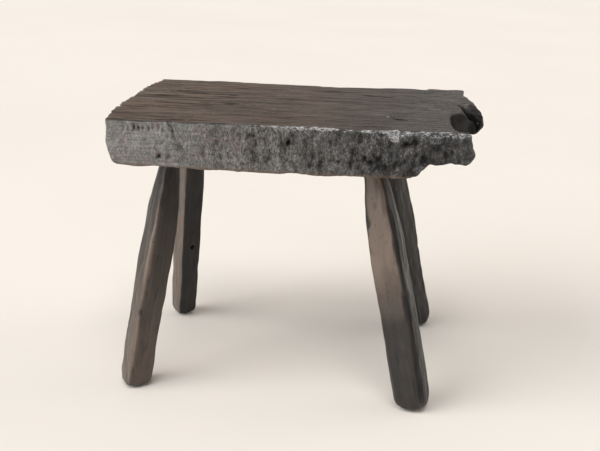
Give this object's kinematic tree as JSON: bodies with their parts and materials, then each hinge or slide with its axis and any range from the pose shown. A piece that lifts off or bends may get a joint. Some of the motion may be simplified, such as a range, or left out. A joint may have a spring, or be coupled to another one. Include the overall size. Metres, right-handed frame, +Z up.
{
  "type": "wooden milking stool",
  "caption": "Low hewn stool: a thick worn slab seat on splayed, chamfered legs that are tenoned and wedged into its underside",
  "frame": {"origin": "on the floor under the middle of the stool's bounding box", "axes": "+X along the length of the seat towards the worn, hollowed end; +Y to the back, across the seat; +Z up"},
  "size_m": [0.424, 0.2724, 0.333],
  "materials": {
    "seat_wood": "old dark waxed wood, worn and pitted",
    "leg_wood": "old dark waxed wood, hewn and polished by handling",
    "wedge_wood": "plain split hardwood"
  },
  "bodies": {
    "root": {"seat": "seat_wood", "leg_front_left": "leg_wood", "leg_front_right": "leg_wood", "leg_back_left": "leg_wood", "leg_back_right": "leg_wood", "wedge_front_left": "wedge_wood", "wedge_front_right": "wedge_wood", "wedge_back_left": "wedge_wood", "wedge_back_right": "wedge_wood"}
  },
  "joints": []
}
